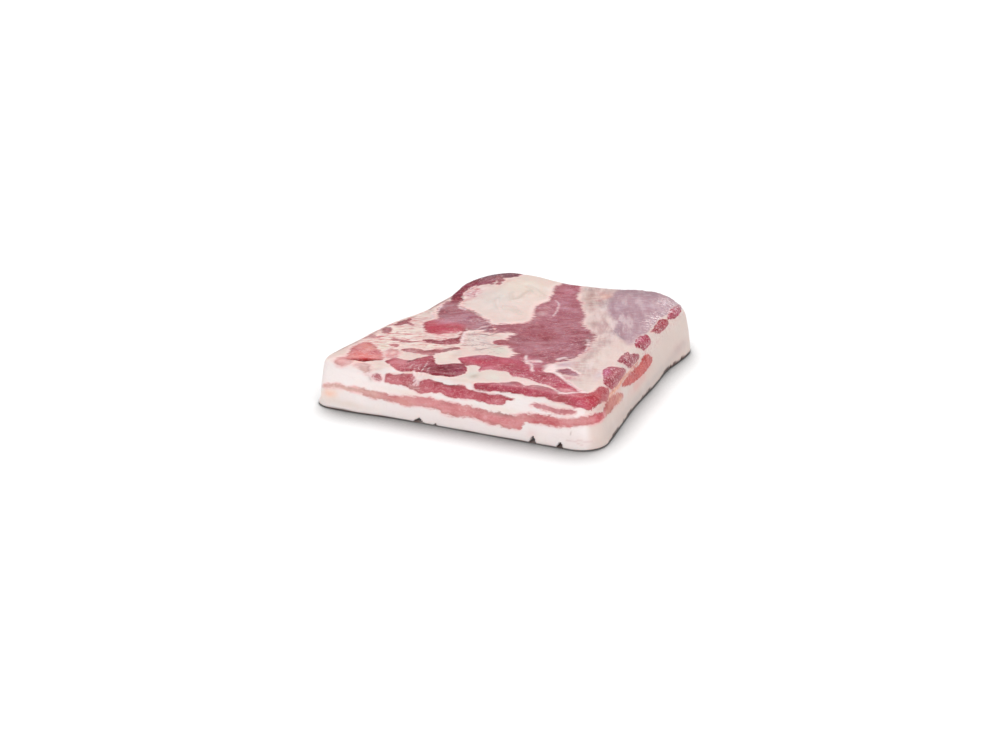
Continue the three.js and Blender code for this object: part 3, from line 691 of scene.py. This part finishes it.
def rounded(corners):
    """A closed outline's points along Catmull-Rom curves through its corners, four to a corner."""
    p1 = np.array(corners, float)
    p0, p2, p3 = np.roll(p1, 1, 0), np.roll(p1, -1, 0), np.roll(p1, -2, 0)
    rows = []
    for t in np.arange(4) / 4:
        bend = (2 * p0 - 5 * p1 + 4 * p2 - p3) * t**2 + (3 * p1 - p0 - 3 * p2 + p3) * t**3
        rows.append(p1 + 0.5 * ((p2 - p0) * t + bend))
    return np.stack(rows, axis=1).reshape(-1, 2)


def to_segment(start, end, x, y):
    """Distance from places to the segment between two points."""
    run, rise = end - start
    t = np.clip(((x - start[0]) * run + (y - start[1]) * rise) / max(run * run + rise * rise, 1e-9), 0, 1)
    return np.hypot(x - start[0] - t * run, y - start[1] - t * rise)


def inside_outline(corners, x, y, margin=14.0):
    """Distance inside a closed rounded outline, below 0 outside: the least distance to its edges,
    with the sign from how often a ray to the right crosses them. Past the margin it stays level."""
    points = rounded(corners)
    low, high = points.min(axis=0) - margin, points.max(axis=0) + margin
    near = (x > low[0]) & (x < high[0]) & (y > low[1]) & (y < high[1])
    near_x, near_y = x[near], y[near]
    nearest = np.full(near_x.shape, margin)
    inside = np.zeros(near_x.shape, bool)
    for start, end in zip(points, np.roll(points, -1, axis=0)):
        nearest = np.minimum(nearest, to_segment(start, end, near_x, near_y))
        if start[1] != end[1]:
            crossing = start[0] + (near_y - start[1]) * (end[0] - start[0]) / (end[1] - start[1])
            inside ^= ((start[1] > near_y) != (end[1] > near_y)) & (near_x < crossing)
    result = np.full(x.shape, -margin)
    result[near] = np.where(inside, nearest, -nearest)
    return result


def inside_line(points, half, x, y):
    """Half width minus the distance to a line through the points."""
    points = np.array(points, float)
    steps = zip(points[:-1], points[1:])
    return half - np.min([to_segment(start, end, x, y) for start, end in steps], axis=0)


class Belly:
    """The fields of the slab at its places: lengths in millimetres, and shares from 0 to 1."""

    def __init__(self, places, normals):
        self.x, self.y, self.z = places.T
        self.v = self.z + self.y + MARK_Y
        self.w = self.z + WIDTH - MARK_X - self.x
        self.up = smooth(0.4, 0.85, normals[:, 2])
        self.under = smooth(0.9, 0.99, -normals[:, 2])
        self.right = smooth(0.45, 0.75, normals[:, 0])
        self.left = smooth(0.45, 0.75, -normals[:, 0])
        self.front = smooth(0.45, 0.75, -normals[:, 1])
        self.rear = smooth(0.45, 0.75, normals[:, 1])
        self.make_charts(normals)
        self.mix_lean()
        self.mix_fat()

    def make_charts(self, normals):
        """Each chart's two coordinates, ruffled by small ripples, and where it holds, from 0 to 1."""
        ruffle_x = 0.9 * ripples(self.x, self.v, 15, 3) + 0.7 * ripples(self.x, self.v, 6, 4)
        ruffle_y = 0.7 * ripples(self.x, self.v, 13, 5) + 0.6 * ripples(self.x, self.v, 5, 6)
        x, y = self.x + ruffle_x, self.y + ruffle_y
        sideways = smooth(0.8, 0.96, np.abs(normals[:, 0]))
        depth = 13 + 2 * ripples(self.x, self.y, 30, 8)
        skin_deep = smooth(0, 2, self.z - top_height(self.x, self.y) + depth)
        beside = smooth(248, 256, self.x) * smooth(0.1, 0.5, normals[:, 2]) * (1 - self.rear)
        self.charts = {
            "wrap": (x, self.v + ruffle_y, (1 - np.maximum(sideways, self.rear)) * (self.z > 1.0)),
            "top": (x, y, skin_deep * (1 - np.maximum(self.right, self.front))),
            "side": (y, self.w + ruffle_x * 0.7, np.maximum(smooth(0.1, 0.4, self.right), beside)),
            "left": (y, self.z + ruffle_x, self.left * (1 - smooth(0.5, 0.8, self.up))),
            "rear": (x, self.z + ruffle_y, self.rear * (1 - smooth(0.5, 0.8, self.up))),
        }

    def mix_lean(self):
        """Union of the lean parts by their distance inside. Where parts meet, their tints and how
        far they stand out mix by exp of that distance in units of the meeting's width."""
        inside, tints, outs = [], [], []
        for chart, tint, out, soft, corners in LEAN_PARTS.values():
            first, second, holds = self.charts[chart]
            inside.append(inside_outline(corners, first, second) / soft - FAR * (1 - holds))
            tints.append(tone(*tint))
            outs.append(out)
        share = np.exp(np.clip(inside, -40, 40) / MEETING)
        share /= share.sum(axis=0)
        self.lean = np.max(inside, axis=0)
        self.out = share.T @ np.array(outs)
        self.lean_tint = self.lined(self.tinted(share.T @ np.array(tints), LEAN_TINTS))
        self.thread = np.zeros_like(self.x)
        for line, (strength,) in self.drawn(THREADS, 1.0):
            self.thread = np.maximum(self.thread, strength * line)

    def bells(self, table):
        """For each row of a table of areas or tints: its bell, exp of minus the squared distance in
        reaches, where its chart holds, and what else the row gives."""
        for chart, rows in table.items():
            first, second, holds = self.charts[chart]
            for middle_1, middle_2, reach_1, reach_2, *rest in rows:
                far_1, far_2 = (first - middle_1) / reach_1, (second - middle_2) / reach_2
                yield np.exp(-(far_1**2) - far_2**2) * holds, rest

    def tinted(self, tint, table):
        """The tint with softer ones laid over it by their bells, made patchy."""
        patchy = 1 + 0.35 * ripples(self.x, self.v, 11, 31)
        for bell, (colour, amount) in self.bells(table):
            tint = over(tint, colour, amount * bell * patchy)
        return tint

    def areas(self, table, most=np.inf):
        """Sum of a table's bells, each by its amount, up to the most that there may be."""
        return np.minimum(sum(amount * bell for bell, (amount,) in self.bells(table)), most)

    def drawn(self, table, soft):
        """For each row of a table of lines: 1 near its middle, going to 0 past its edge by the soft
        share of its half width, where its chart holds, and what else the row gives."""
        for chart, rows in table.items():
            first, second, holds = self.charts[chart]
            for half, *rest, points in rows:
                across = inside_line(points, half, first, second)
                yield smooth(-soft * half, 0.6 * half, across) * holds, rest

    def lined(self, tint):
        """The tint with the thin lines drawn over it, some of them painted shade."""
        for line, (amount, colour) in self.drawn(LINES_AND_SHADE, 0.6):
            tint = over(tint, colour, amount * line)
        return tint

    def inside_patch(self, corners):
        """Distance inside a patch of the top."""
        first, second, _ = self.charts["top"]
        return inside_outline(corners, first, second) - FAR * (1 - self.up)

    def mix_fat(self):
        """Fat tints laid over one another: the front's, the top's and the side's, which is painted darker
        as shade, the softer ones, the film, pink at the lean's edge, the thin lines, some of them painted
        shade, the painted shadow along the foot and in the nicks, and the skin at the foot."""
        self.film = self.inside_patch(FILM_PATCH)
        self.film_share = smooth(-4, 5, self.film)
        self.pink = self.areas(PINK_AREAS, 1)
        self.strip = self.areas(FIBRE_AREAS, 1)
        # Where painted glints lie.
        self.glint_share = self.areas(GLINT_AREAS, 1.5)
        tint = tone(*FAT_FRONT) + np.zeros((len(self.x), 3))
        uneven = 5 * ripples(self.x, self.v, 16, 35)
        tint = over(tint, FAT_TOP, smooth(46, 58, self.v + uneven) * np.maximum(self.up, 0.3))
        # Painted shade: the fat of the side facing right is darker.
        tint = over(tint, FAT_SIDE_SHADED, self.right)
        tint = self.tinted(tint, FAT_TINTS)
        tint = over(tint, FILM, 0.9 * self.film_share)
        tint = self.tinted(tint, FILM_TINTS)
        patchy = 0.45 + 0.5 * ripples(self.x, self.v, 9, 34)
        bare = (1 - 0.5 * self.film_share) * (1 - 0.8 * self.strip)
        tint = over(tint, RIM, 0.55 * smooth(-3.2, -0.8, self.lean) * self.up * bare)
        tint = over(tint, BLUSH, patchy * smooth(-1.8, -0.1, self.lean) * bare)
        tint = self.lined(tint)
        # Painted shadow along the foot.
        tint = over(tint, FOOT_SHADOW_TINT, 1 - smooth(0.2, 1.7, self.above_foot_shadow()))
        # Painted shade inside the nicks.
        tint = over(tint, NICK_SHADOW, 0.9 * smooth(0.5, 3.0, self.nicks()))
        self.fat_tint = over(tint, SKIN, self.under)

    def above_foot_shadow(self):
        """Height over the painted shadow along the foot, which is wavy at the right and thicker at the
        left of the front."""
        wavy = 2.0 + 1.1 * ripples(self.y, self.x, 7, 36) + self.areas(FOOT_SHADOW_RISE)
        at_right = self.right * smooth(14, 26, self.y) * wavy
        at_front = 0.9 * self.front * smooth(130, 60, self.x)
        return self.z + 0.4 * ripples(self.x, self.y, 16, 33) - at_right - at_front

    def relief(self):
        """How far the surface stands out: each part as a pillow with a groove round it, folds of
        the fat patch, wrinkles of the film and the lean's grain, all from nothing at the foot."""
        pillow = self.out * (1 - np.exp(-np.maximum(self.lean, 0) / 3))
        groove = -0.3 * np.exp(-((self.lean / 1.3) ** 2))
        patch = self.inside_patch(FAT_PATCH)
        folds = 0.5 * ripples(self.x * 0.7, self.y, 30, 21) * smooth(0, 14, patch)
        for points in FOLDS:
            folds += 0.9 * self.up * smooth(-4, 0.5, inside_line(points, 0.5, self.x, self.y))
        ridges = 1 - np.abs(ripples(self.x + 0.35 * self.y, 0.35 * self.y, 7, 22, 2)) * 2
        wrinkles = 0.3 * ridges * smooth(0, 10, self.film)
        grain = 0.12 * ripples(self.x * 0.3, self.y, 5.0, 23) * smooth(0, 5, self.lean) * self.up
        lumps = 0.35 * ripples(self.x, self.v, 34, 24) + 0.15 * ripples(self.x, self.v, 13, 25)
        raised = pillow + folds + wrinkles + grain + lumps + 0.5 * self.thread
        return (raised + groove - 1.5 * self.crease()) * smooth(0, 8, self.z)

    def crease(self):
        """1 along the crease in front of the salmon patch, which is widest in its middle."""
        first, second, holds = self.charts["top"]
        middle = 2.1 * np.exp(-(((first - 45) / 9) ** 2)) - 0.2
        return smooth(-1.6, 0.4, inside_line(SALMON_CREASE, 0.0, first, second) + middle) * holds

    def nicks(self):
        """How far the skin's nicks cut in: full depth inside a wedge that narrows with height."""
        total = np.zeros_like(self.x)
        for along, side, cuts in ((self.x, self.front, FRONT_NICKS), (self.y, self.right, RIGHT_NICKS)):
            for at, width, height, depth in cuts:
                half = width / 2 * np.clip(1 - self.z / height, 0, 1)
                total += depth * side * smooth(-0.8, 0.8, half - np.abs(along - at)) * (self.z < height)
        return total


def slab_mesh():
    """The slab's mesh: the smooth surface, moved by its relief and nicks, fitted to the CAD's box."""
    a, b, c, quads, foot = box_skin()
    places = slab_surface(a, b, c)
    normals = normals_of(places, quads)
    belly = Belly(places, normals)
    places = places + normals * belly.relief()[:, None]
    level = normals * [1, 1, 0]
    level /= np.maximum(np.linalg.norm(level, axis=1, keepdims=True), 1e-9)
    places -= level * belly.nicks()[:, None]
    low, high = places.min(axis=0), places.max(axis=0)
    cad_low, cad_high = np.array(cad_box[0]), np.array(cad_box[1])
    fitted = cad_low + (places - low) / (high - low) * (cad_high - cad_low)

    mesh = bpy.data.meshes.new("pork_belly")
    mesh.from_pydata(fitted.tolist(), [], quads.tolist() + [foot.tolist()])
    mesh.polygons.foreach_set("use_smooth", [True] * len(quads) + [False])
    numbers = {
        "lean": belly.lean,
        "thread": belly.thread,
        "ragged": RAGGED + belly.areas(RAGGED_AREAS),
        "pink": belly.pink,
        "strip": belly.strip,
        "film": belly.film_share,
        "veined": smooth(-6, 8, belly.inside_patch(VEINED_PATCH)),
        "crease": belly.crease(),
        "skin": belly.under,
        "glint_share": belly.glint_share,
        "bold": 0.2 + 0.8 * smooth(0.4, 0.14, belly.lean_tint[:, 1]),
    }
    for name, values in numbers.items():
        data = mesh.attributes.new(name, "FLOAT", "POINT").data
        data.foreach_set("value", values.astype(np.float32))
    for name, tint in (("lean_tint", belly.lean_tint), ("fat_tint", belly.fat_tint)):
        filled = np.concatenate([tint * TINT_SHARE, np.ones((len(tint), 1))], axis=1)
        data = mesh.attributes.new(name, "FLOAT_COLOR", "POINT").data
        data.foreach_set("color", filled.astype(np.float32).ravel())
    mesh.update()
    return mesh, (low + high) / 2


class Socket:
    """An output of a material's node. Arithmetic on it adds Math nodes."""

    def __init__(self, paint, link):
        self.paint = paint
        self.link = link

    def math(self, operation, *terms):
        return self.paint.node("Math", {"operation": operation}, dict(enumerate(terms)))

    def __add__(self, other):
        return self.math("ADD", self, other)

    def __sub__(self, other):
        return self.math("SUBTRACT", self, other)

    def __rsub__(self, other):
        return self.math("SUBTRACT", other, self)

    def __mul__(self, other):
        return self.math("MULTIPLY", self, other)

    def __abs__(self):
        return self.math("ABSOLUTE", self)

    __radd__ = __add__
    __rmul__ = __mul__

    def smooth(self, low, high, start=0.0, end=1.0):
        """Goes smoothly from start to end while the number goes from low to high."""
        inputs = {"Value": self, "From Min": low, "From Max": high, "To Min": start, "To Max": end}
        return self.paint.node("MapRange", {"interpolation_type": "SMOOTHSTEP"}, inputs)


class Paint:
    """A material's nodes."""

    def __init__(self, name):
        self.material = bpy.data.materials.new(name)
        self.material.use_nodes = True
        self.tree = self.material.node_tree
        self.tree.nodes.clear()

    def node(self, kind, settings=None, inputs=None, output=0):
        """Adds a node: its settings first, then the values or links of its sockets."""
        made = self.tree.nodes.new("ShaderNode" + kind)
        for key, value in (settings or {}).items():
            setattr(made, key, value)
        for key, value in (inputs or {}).items():
            if isinstance(value, Socket):
                self.tree.links.new(value.link, made.inputs[key])
            else:
                made.inputs[key].default_value = value
        return Socket(self, made.outputs[output])

    def kept(self, name, output="Fac"):
        """A number or colour kept in the mesh."""
        return self.node("Attribute", {"attribute_name": name}, output=output)

    def noise(self, size, detail=3.0, stretch=(1, 1, 1), roughness=0.5, distortion=0.0, turn=20.0):
        """Noise with lumps of about the size in millimetres, longer along a stretched axis, with the
        axes turned about z by the degrees."""
        inputs = {"Vector": self.node("TexCoord", output="Object"), "Rotation": (0, 0, radians(turn)),
                  "Scale": tuple(MM * size * longer for longer in stretch)}
        placed = self.node("Mapping", {"vector_type": "TEXTURE"}, inputs)
        inputs = {"Vector": placed, "Scale": 1.0, "Detail": detail, "Roughness": roughness,
                  "Distortion": distortion}
        return self.node("TexNoise", inputs=inputs)

    def seams(self, width, *lumps):
        """Thin lines along the middle level of a noise: 1 on them, going to 0 at their width."""
        return abs(self.noise(*lumps) - 0.5).smooth(0.0, width, 1.0, 0.0)

    def mix(self, base, laid, amount, blend="MIX"):
        """A colour laid over another by an amount. A Mix node's sockets go by their places: 0 is the
        factor, 6 and 7 are the two colours, and output 2 is the mixed one."""
        settings = {"data_type": "RGBA", "blend_type": blend}
        return self.node("Mix", settings, {0: amount, 6: base, 7: laid}, output=2)

    def over(self, base, tint, amount):
        """A screen colour laid over another by an amount."""
        return self.mix(base, (*(tone(*tint) * TINT_SHARE), 1.0), amount)

    def times(self, base, by, amount):
        """A colour multiplied by another by an amount."""
        return self.mix(base, (*by, 1.0), amount, "MULTIPLY")

    def finish(self, surface):
        """Links the surface to the material's output."""
        output = self.tree.nodes.new("ShaderNodeOutputMaterial")
        self.tree.links.new(surface.link, output.inputs["Surface"])
        return self.material


def lean_colour(paint, grain, broad, edge, bold):
    """Wet lean: its tint with dark and pale mottles, grain, paler patches of painted wet sheen and darker
    places by its edge."""
    mottle = paint.noise(9, 4, (1.8, 1, 1), 0.55, 0.3)
    painted_sheen = paint.noise(4.5, 3, (2.6, 1, 1), 0.6, 0.4)
    lean = paint.kept("lean_tint", "Color")
    lean = paint.times(lean, (0.78, 0.5, 0.55), mottle.smooth(0.46, 0.68) * bold)
    lean = paint.times(lean, (0.8, 0.62, 0.66), grain.smooth(0.5, 0.75) * 0.4 * bold)
    lean = paint.times(lean, (1.12, 1.45, 1.42), mottle.smooth(0.48, 0.34, 0.0, 0.8) * bold)
    # Painted sheen: paler patches standing in for light on the wet lean.
    lean = paint.times(lean, (1.16, 1.6, 1.6), painted_sheen.smooth(0.54, 0.7, 0.0, 0.6) * bold)
    return paint.times(lean, (0.84, 0.8, 0.78), edge.smooth(2.4, 0.4) * broad.smooth(0.42, 0.58))


def fat_colour(paint, broad, streaks, film, skin_marks):
    """Waxy fat: its tint with pale patches, pink streaks, fibres and grey veins, and the pores and
    creases of the skin below."""
    fibre = paint.noise(7, 4, (4, 1, 1), 0.6, turn=108)
    veins = paint.seams(0.035, 8, 3, (2.0, 1, 1), 0.55, 0.6)
    pink, strip = paint.kept("pink"), paint.kept("strip")
    pores, creases = skin_marks
    fat = paint.kept("fat_tint", "Color")
    fat = paint.over(fat, (250, 240, 236), broad.smooth(0.5, 0.75, 0.0, 0.25) * (1 - film))
    fat = paint.over(fat, (212, 128, 132), streaks.smooth(0.49, 0.63) * pink)
    fat = paint.over(fat, (254, 236, 226), streaks.smooth(0.52, 0.36) * pink * 0.75)
    fat = paint.times(fat, (0.78, 0.66, 0.69), fibre.smooth(0.46, 0.66) * strip)
    fat = paint.over(fat, (240, 218, 216), fibre.smooth(0.5, 0.34) * strip * 0.6)
    fat = paint.over(fat, (160, 132, 134), veins * (paint.kept("veined") * 0.5 + 0.04))
    fat = paint.times(fat, (0.72, 0.6, 0.55), pores.smooth(0.52, 0.7) * paint.kept("skin"))
    return paint.times(fat, (0.7, 0.56, 0.5), creases * paint.kept("skin") * 0.5)


def belly_material():
    """Raw belly: waxy fat, wet lean with its grain and fine marbling, and thin silvery film."""
    paint = Paint("raw_pork_belly")
    grain = paint.noise(1.0, 3, (5, 1, 1))
    coarse = paint.noise(4.0, 3, (2.2, 1, 1))
    broad = paint.noise(24, 3)
    streaks = paint.noise(2.6, 4, (3.6, 1, 1), 0.62, 0.3)
    glint_flecks = paint.noise(2.3, 2, (1.6, 1, 1), 0.6, 0.5)
    pores = paint.noise(1.6, 3)
    creases = paint.seams(0.05, 14, 3, (3, 1, 1), 0.55, 0.5, 70)
    depth, bold = paint.kept("lean"), paint.kept("bold")
    film, glint_share = paint.kept("film"), paint.kept("glint_share")

    frayed = (paint.noise(2.6, 4, (4, 1, 1), 0.6, 0.3) - 0.5) * paint.kept("ragged")
    edge = depth + (coarse - 0.5) * 2.6 + (grain - 0.5) * 2.0 + frayed
    marbling = paint.seams(0.022, 5.5, 4, (3.2, 1, 1), 0.6, 0.4) * depth.smooth(0.5, 4.0)
    mask = edge.smooth(-0.8, 0.8) * (1 - marbling * 0.28)
    lean = lean_colour(paint, grain, broad, edge, bold)
    fat = fat_colour(paint, broad, streaks, film, (pores, creases))

    thread = paint.kept("thread") * coarse.smooth(0.36, 0.5, 0.45, 1.0)
    # Painted glints: small pale dots standing in for light caught on the wet surface.
    painted_glint = paint.noise(0.8, 2).smooth(0.56, 0.66) * (glint_share * 0.6 + mask * 0.1)
    painted_glint = painted_glint + glint_flecks.smooth(0.56, 0.63) * glint_share * 0.5
    painted_glint = painted_glint + glint_flecks.smooth(0.5, 0.58) * glint_share * film * 0.6
    # Dark red along the salmon patch's crease: partly the lean's own dark edge, partly painted shade in
    # the groove.
    meat = paint.over(paint.mix(fat, lean, mask), (136, 12, 16), paint.kept("crease") * 0.95)
    meat = paint.over(meat, (250, 226, 226), thread * 0.85)
    # Pink painted glints on the lean.
    meat = paint.over(meat, (232, 150, 158), glint_flecks.smooth(0.56, 0.66) * mask * bold * 0.4)
    meat = paint.over(meat, (252, 232, 234), painted_glint)
    meat = paint.over(meat, (222, 200, 210), streaks.smooth(0.52, 0.66) * film * 0.4)

    lean_height = grain * 0.35 + coarse * 0.5
    skin_height = (creases + pores) * paint.kept("skin") * 0.5
    fat_height = paint.noise(2.2, 4) * 0.4 + broad * 0.4 - skin_height
    height = fat_height + (lean_height - fat_height) * mask
    bump = paint.node("Bump", inputs={"Strength": 0.4, "Distance": 0.0006, "Height": height})
    roughness = broad.smooth(0.3, 0.7, 0.34, 0.42) - film * 0.06 - mask * 0.1
    surface = paint.node("BsdfPrincipled", inputs={
        "Base Color": meat, "Roughness": roughness, "IOR": 1.44, "Subsurface Weight": 0.25,
        "Subsurface Radius": (1.0, 0.4, 0.3), "Subsurface Scale": 0.0018, "Specular IOR Level": 0.07,
        "Coat Weight": 0.02 + mask * 0.03 + film * 0.05, "Coat Roughness": 0.15, "Normal": bump})
    return paint.finish(surface)


def floor_material():
    """Plain pale paper with a painted contact shadow: darker where something stands close over it."""
    paint = Paint("pale_floor_with_painted_shadow")
    open_sky = paint.node("AmbientOcclusion", {"samples": 8}, {"Distance": 0.05}, output="AO")
    # Painted shadow: the paper turns dark grey where little open sky reaches it.
    colour = paint.mix((0.3, 0.3, 0.3, 1), (0.95, 0.95, 0.95, 1), open_sky.smooth(0.3, 0.95))
    surface = paint.node("BsdfPrincipled", inputs={
        "Base Color": colour, "Roughness": 0.7, "Specular IOR Level": 0.2})
    return paint.finish(surface)


def make_floor():
    """A level square, just under the slab's foot."""
    half, level = 15.0, -0.0002
    mesh = bpy.data.meshes.new("floor")
    corners = [(-half, -half, level), (half, -half, level), (half, half, level), (-half, half, level)]
    mesh.from_pydata(corners, [], [(0, 1, 2, 3)])
    floor = bpy.data.objects.new("floor", mesh)
    floor.data.materials.append(floor_material())
    bpy.context.scene.collection.objects.link(floor)


def make_sun(name, turn, width, strength, in_gloss):
    """A distant soft light, turned from pointing straight down, as wide in the sky as the angle,
    that gloss reflects or not."""
    data = bpy.data.lights.new(name, "SUN")
    data.angle = radians(width)
    data.energy = strength
    light = bpy.data.objects.new(name, data)
    light.rotation_euler = [radians(angle) for angle in turn]
    light.visible_glossy = in_gloss
    bpy.context.scene.collection.objects.link(light)


def make_world():
    """A plain white surround."""
    world = bpy.data.worlds.new("studio")
    world.use_nodes = True
    surround = world.node_tree.nodes["Background"]
    surround.inputs["Color"].default_value = (1, 1, 1, 1)
    surround.inputs["Strength"].default_value = 0.28
    bpy.context.scene.world = world


def make_camera(centre):
    """The camera, brought from the mark's millimetres to the frame as the slab is."""
    data = bpy.data.cameras.new("camera")
    data.lens = CAMERA_LENS
    camera = bpy.data.objects.new("camera", data)
    camera.location = (np.array(CAMERA_PLACE) - [centre[0], centre[1], 0]) * MM
    camera.rotation_euler = (radians(CAMERA_TILT), 0, radians(CAMERA_TURN))
    bpy.context.scene.collection.objects.link(camera)
    bpy.context.scene.camera = camera


mesh, slab_centre = slab_mesh()
slab = bpy.data.objects.new("pork_belly", mesh)
slab.data.materials.append(belly_material())
bpy.context.scene.collection.objects.link(slab)
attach(slab, "root")
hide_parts(NODE)

make_floor()
make_world()
make_sun("key", (-32, 0, 22), 44, 2.5, in_gloss=True)
# In gloss, the two low lights would whiten the top seen from behind.
make_sun("fill", (74, 0, -4), 40, 1.6, in_gloss=False)
make_sun("side", (75, 0, 75), 40, 1.1, in_gloss=False)
make_camera(slab_centre)
bpy.context.scene.view_settings.view_transform = "Standard"
